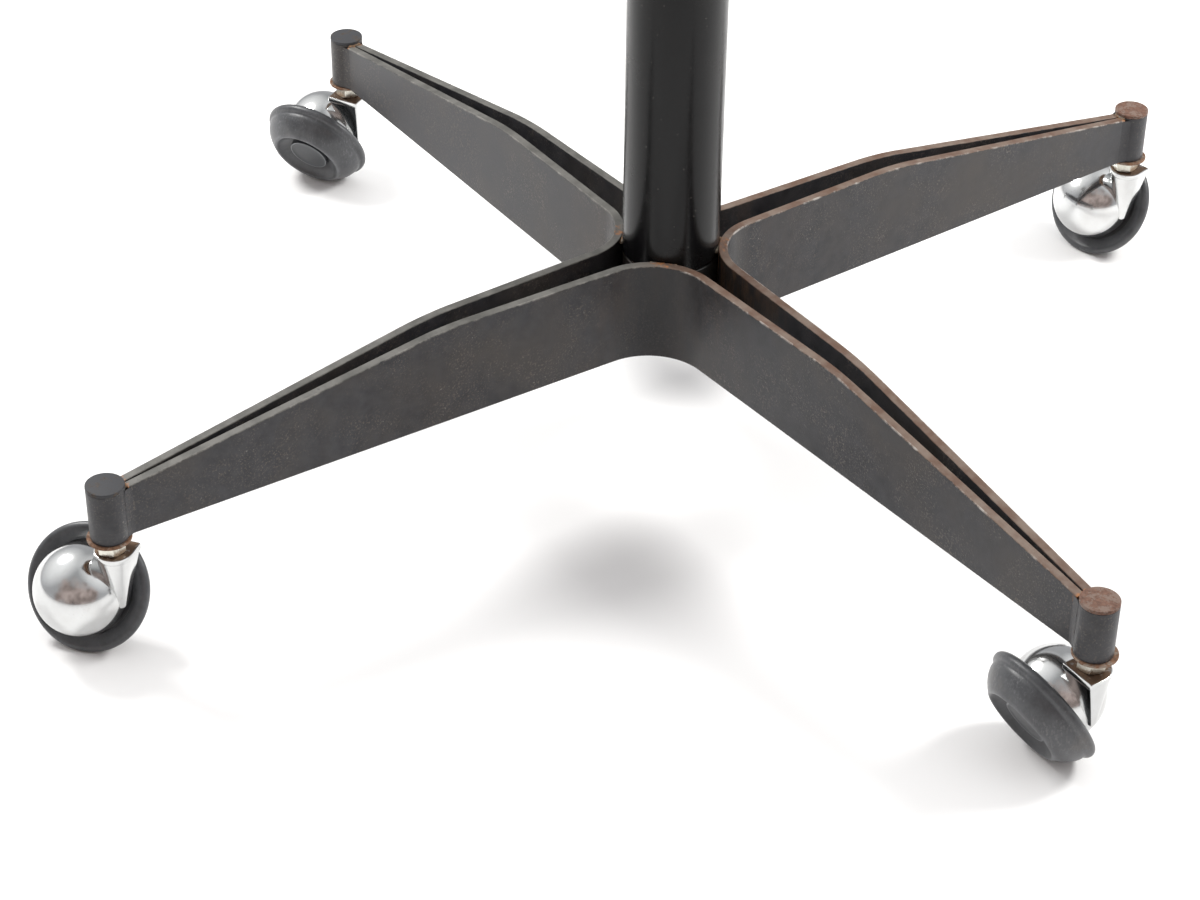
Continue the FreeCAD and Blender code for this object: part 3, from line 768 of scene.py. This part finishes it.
class CasterFrame:
    """A caster's own axes from the floor under the tip: x away from the trail, y towards the ball, z up."""

    def __init__(self, arm):
        wheel = joints["wheel_spin_" + arm]
        self.lip = Vector(wheel["pos_m"])
        self.axle = Vector(wheel["axis"]).normalized()
        self.ball = self.lip - self.axle * LIP_OFFSET
        self.origin = tip(arm)
        forward = self.origin - self.ball
        self.x = Vector((forward.x, forward.y, 0)).normalized()
        self.y = -Vector((self.axle.x, self.axle.y, 0)).normalized()

    def place(self, x, y, z):
        return self.origin + self.x * x + self.y * y + UP * z


def tyre_outline():
    """Room for the core, dished outer face, ridge, band, groove, lip, and recess round the hood."""
    recess_r = BALL_R / MM + HOOD_GAP
    inner, outer = CORE_SIDES
    cap_edge = (10.3, CAP_SEAT_R + 0.05)
    outline = [(inner, CORE_R), (outer, CORE_R), (outer, CAP_SEAT_R), cap_edge]
    outline += curve(cap_edge, (10.9, 17.2), (14.3, 19.6), 11)
    outline += arc(*TYRE_RIDGE, TYRE_RIDGE_R, -62, 42, 9)
    outline += curve((14.75, 22.04), (9.9, 28.75), TYRE_GROOVE, 16)
    outline += curve(TYRE_GROOVE, (3.3, 30.1), (2.54, 30.98), 6)
    outline += arc(*TYRE_LIP, TYRE_LIP_R, 25, 200, 24)
    outline += curve((-2.63, 28.84), (-1.6, 26.3), (-0.6, recess_r + 0.8), 9)
    outline += arc(0.3, recess_r + 0.8, 0.8, 185, 262, 5)
    outline.append((inner, recess_r))
    return metres(outline)


def make_wheel(arm, shape):
    """The rubber tyre, the core inside it and the round cap in its outer face."""
    def scuffed(along, radius):
        return 1.0 if along > -1 * MM and radius > 22 * MM else 0.2

    # lighter band on the ridge: wear from rubbing and a painted highlight
    def rubbed_and_highlit(along, radius):
        return fade(abs(radius - 21.5 * MM), 1.6 * MM) if along > 12 * MM else 0.0

    # painted shade: darkest at the cap's seat, fading out across the dish
    def shaded(along, radius):
        return 0.8 * fade(radius - CAP_SEAT_R * MM, 4.5 * MM) if along > 9 * MM else 0.0

    # the cap's rim: a painted highlight line and wear from rubbing
    def cap_rim(along, radius):
        return 1.0 if along > 12.3 * MM and radius > 11.4 * MM else 0.0

    tyre = lathe("Tyre." + arm, tyre_outline(), shape.lip, shape.axle, "tyre_rubber", 144,
                 {"worn": scuffed, "rubbed_and_highlit": rubbed_and_highlit, "shaded": shaded}, TYRE_WOBBLE)
    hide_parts("tyre_" + arm)

    hub = lathe("Wheel_core." + arm, rounded(metres(CORE_OUTLINE), 4),
                shape.lip, shape.axle, "wheel_plastic", 72)
    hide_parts("wheel_core_" + arm)

    face = CAP_SKIRT + arc(12.0, 11.6, 0.55, 80, 0, 5) + CAP_DISH + CAP_INSIDE
    cap = lathe("Wheel_cap." + arm, metres(face), shape.lip, shape.axle, "cap_plastic", 96,
                {"rubbed_and_highlit": cap_rim})
    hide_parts("wheel_cap_" + arm)
    for piece in (tyre, hub, cap):
        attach(piece, "wheel_" + arm)


def ball_shell(name, shape):
    """The hood's part ball: outer skin, rounded rim and inner skin, turned about the axle."""
    inner_r = BALL_R - BALL_WALL
    outer_end = math.acos((LIP_OFFSET + HOOD_RIM) / BALL_R)
    inner_end = math.acos((LIP_OFFSET + HOOD_RIM) / inner_r)
    outer_skin = arc(-LIP_OFFSET, 0, BALL_R, 180, math.degrees(outer_end), SHELL_STEPS)
    inner_skin = arc(-LIP_OFFSET, 0, inner_r, math.degrees(inner_end), 180, SHELL_STEPS)
    rim = [(HOOD_RIM - 1.2 * MM, BALL_R * math.sin(outer_end), 0),
           (HOOD_RIM, BALL_R * math.sin(outer_end) - 0.1 * MM, 0.5 * MM),
           (HOOD_RIM, inner_r * math.sin(inner_end), 0.5 * MM),
           (HOOD_RIM - 1.2 * MM, inner_r * math.sin(inner_end) + 0.2 * MM, 0)]
    skin_end = HOOD_RIM - 0.8 * MM
    outline = [point for point in outer_skin if point[0] < skin_end]
    outline += rounded(rim, 4)[1:-1]
    outline += [point for point in inner_skin if point[0] < skin_end]
    return lathe(name, outline, shape.lip, shape.axle, "chrome", 144)


PLATE_HALF_WIDTH = 10.0 * MM            # half the D's width, and the radius of its round side
PLATE_CENTRE = Vector((1.0, -1.0)) * MM
PLATE_FLAT = 8.7 * MM                   # the D's flat side from its centre
PLATE_THICKNESS = 3.0 * MM
NECK_SCALE = 0.95                       # the D's size just under the plate
TOE_SCALE = 0.28                        # and at the toe
TOE_CENTRE = Vector((3.0, 1.3)) * MM
TOE_Z = 31.0 * MM
TOE_END = ((0.7, 0.25), (1.2, 0.19), (1.5, 0.10))       # rounded end: mm below the toe, and scale
HORN_STEPS = 48
D_STEPS = 40


def d_outline(scale, centre):
    """The D of the plate, seen from above: a half circle with a flat side towards the wheel."""
    wide = PLATE_HALF_WIDTH * scale
    flat = centre.y - PLATE_FLAT * scale
    corner = min(0.8 * MM, 0.35 * wide)
    outline = [(centre.x - wide, flat, corner), (centre.x + wide, flat, corner)]
    outline += [(x, y, 0) for x, y in arc(centre.x, centre.y, wide, 0, 180, D_STEPS)]
    return [Vector(point) for point in rounded(outline, 4)]


def horn_solid(name, shape, arm):
    """The neck: a D-shaped plate over a cone that narrows to the toe on the ball's side."""
    plate_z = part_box("caster_hood_" + arm)[1].z
    under_z = plate_z - PLATE_THICKNESS
    levels = [(plate_z, 0.80, 1.0), (plate_z, 0.93, 0.9), (plate_z, 0.965, 0.1),
              (plate_z - 0.1 * MM, 0.985, 0.0), (plate_z - 0.4 * MM, 1.0, 0.0),
              (under_z + 0.3 * MM, 1.0, 0.0), (under_z, 0.985, 0.0)]
    sections = [(z, d_outline(scale, PLATE_CENTRE), stain) for z, scale, stain in levels]
    for i in range(HORN_STEPS + 1):
        share = i / HORN_STEPS
        scale = NECK_SCALE + (TOE_SCALE - NECK_SCALE) * share
        z = under_z - 0.3 * MM + (TOE_Z - under_z) * share
        sections.append((z, d_outline(scale, PLATE_CENTRE.lerp(TOE_CENTRE, share)), 0.0))
    for drop, scale in TOE_END:
        sections.append((TOE_Z - 0.3 * MM - drop * MM, d_outline(scale, TOE_CENTRE), 0.0))
    points = [shape.place(plan.x, plan.y, z) for z, section, _ in sections for plan in section]
    stained = [stain for _, section, stain in sections for _ in section]
    faces = skin(len(sections), len(sections[0][1]))
    return new_object(name, points, faces, "chrome", 30, {"stained": stained})


def make_hood(arm, shape):
    """The cast hood, as its ball and its horn."""
    shell = ball_shell("Hood." + arm, shape)
    horn = horn_solid("Horn." + arm, shape, arm)
    for piece in (shell, horn):
        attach(piece, "caster_" + arm)
    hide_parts("caster_hood_" + arm)


for arm_name in ARMS:
    caster = CasterFrame(arm_name)
    make_wheel(arm_name, caster)
    make_hood(arm_name, caster)


# ================================================================ CAD pieces that keep their shape

def dress(node, material, bevel=0.25 * MM):
    """Give a CAD piece its material and, by modifiers, slightly rounded edges."""
    piece = frame["nodes"][node]
    piece.data.materials.clear()
    piece.data.materials.append(MATERIALS[material])
    weld = piece.modifiers.new("weld", "WELD")
    weld.merge_threshold = 0.002 * MM
    rounding = piece.modifiers.new("rounding", "BEVEL")
    rounding.width = bevel
    rounding.segments = 2
    rounding.limit_method = "ANGLE"
    rounding.angle_limit = math.radians(35)
    rounding.harden_normals = True


for arm_name in ARMS:
    dress("stem_" + arm_name, "zinc_steel")
    dress("axle_" + arm_name, "bare_steel", 0.2 * MM)
    dress("axle_clip_" + arm_name, "spring_steel", 0.1 * MM)
    dress("wheel_bush_" + arm_name, "bush_nylon", 0.15 * MM)
dress("stem_snap_rings", "spring_steel", 0.1 * MM)
dress("spindle", "bare_steel", 0.6 * MM)
dress("spindle_clip", "spring_steel", 0.15 * MM)
dress("thrust_washer", "bush_nylon")
dress("top_bush", "bush_nylon")
dress("lower_bush", "bush_nylon")
dress("top_flange", "arm_paint", 0.6 * MM)


# ================================================================ floor, light and camera

FLOOR_SIZE = 14
LEFT_LIGHT = Vector((-0.87, -0.42, 0.98)).normalized()      # from the base towards the lamp
REAR_LIGHT = Vector((0.42, 0.90, 0.98)).normalized()
LIGHT_DISTANCE = 1.6            # metres
LIGHT_SIZE = 0.5                # metres across
LIGHT_POWER = 17                # watts
LIGHT_COLOR = (1.0, 0.99, 0.97)

CAMERA_AZIMUTH = math.radians(54.67)        # round the column from straight in front
CAMERA_ELEVATION = math.radians(35.245)
CAMERA_ROLL = math.radians(0.73)
CAMERA_TARGET = Vector((0.09259, -0.10896, 0.08714))
CAMERA_DISTANCE = 1.44921
CAMERA_LENS = 88.54                         # mm, with a sensor 36 mm wide
HALF_PIXEL = 0.5 / 1200                     # as a share of the frame's width


def make_floor():
    bpy.ops.mesh.primitive_plane_add(size=FLOOR_SIZE, location=(0, 0, 0))
    floor = bpy.context.object
    floor.name = "Floor"
    shader = principled("floor", Roughness=0.75)
    floor.data.materials.append(shader.finish((0.93, 0.93, 0.93)))


def softbox(name, direction):
    """A round soft lamp in a direction from the base, facing it."""
    light = bpy.data.lights.new(name, "AREA")
    light.shape = "DISK"
    light.size = LIGHT_SIZE
    light.energy = LIGHT_POWER
    light.color = LIGHT_COLOR
    lamp = bpy.data.objects.new(name, light)
    bpy.context.scene.collection.objects.link(lamp)
    lamp.location = direction * LIGHT_DISTANCE
    lamp.rotation_euler = (-direction).to_track_quat("-Z", "Y").to_euler()


def make_world():
    """A pale studio with a glow round each lamp and a mottled, darker room at one side."""
    world = bpy.data.worlds.new("studio")
    bpy.context.scene.world = world
    s = Shader(world, "Background", "Generated")
    sky = s.mix(s.ramp(s.toward(UP), 0.0, 0.75), (0.54, 0.54, 0.555), (0.48, 0.49, 0.50))
    for direction in (LEFT_LIGHT, REAR_LIGHT):
        sky = s.mix(s.ramp(s.toward(direction), 0.66, 0.97), sky, (1.25, 1.25, 1.25))
    ragged = s.ramp(s.noise(1.9, 6, 0.65), 0.3, 0.7, -0.30, 0.26)
    facing = s.plus(s.toward((0.79, -0.56, 0.22)), ragged)
    room = s.mix(s.ramp(s.noise(3.4, 5, 0.6), 0.40, 0.60), (0.70, 0.58, 0.54), (0.30, 0.24, 0.22))
    clutter = s.ramp(s.noise(5, 4, 0.6, (1, 1, 0.4)), 0.54, 0.62)
    low = s.ramp(s.toward(UP), 0.04, 0.30, 1.0, 0.0)
    room = s.mix(s.times(clutter, low), room, (0.06, 0.05, 0.05))
    s.feed(s.surface.inputs["Color"], s.mix(s.ramp(facing, 0.52, 0.80), sky, room))
    s.surface.inputs["Strength"].default_value = 1.0


def make_camera():
    """Looks down at the base from the front right."""
    back = Vector((math.sin(CAMERA_AZIMUTH) * math.cos(CAMERA_ELEVATION),
                   -math.cos(CAMERA_AZIMUTH) * math.cos(CAMERA_ELEVATION),
                   math.sin(CAMERA_ELEVATION)))
    level = Vector((math.cos(CAMERA_AZIMUTH), math.sin(CAMERA_AZIMUTH), 0))
    upright = back.cross(level)
    right = level * math.cos(CAMERA_ROLL) + upright * math.sin(CAMERA_ROLL)
    up = upright * math.cos(CAMERA_ROLL) - level * math.sin(CAMERA_ROLL)
    place = CAMERA_TARGET + back * CAMERA_DISTANCE
    lens = bpy.data.cameras.new("Camera")
    lens.sensor_width = 36.0
    lens.lens = CAMERA_LENS
    lens.shift_x = -HALF_PIXEL
    lens.shift_y = HALF_PIXEL
    camera = bpy.data.objects.new("Camera", lens)
    bpy.context.scene.collection.objects.link(camera)
    camera.matrix_world = Matrix(((right.x, up.x, back.x, place.x), (right.y, up.y, back.y, place.y),
                                  (right.z, up.z, back.z, place.z), (0, 0, 0, 1)))
    bpy.context.scene.camera = camera


make_floor()
softbox("Left", LEFT_LIGHT)
softbox("Rear", REAR_LIGHT)
make_world()
make_camera()
bpy.context.scene.view_settings.view_transform = "Standard"
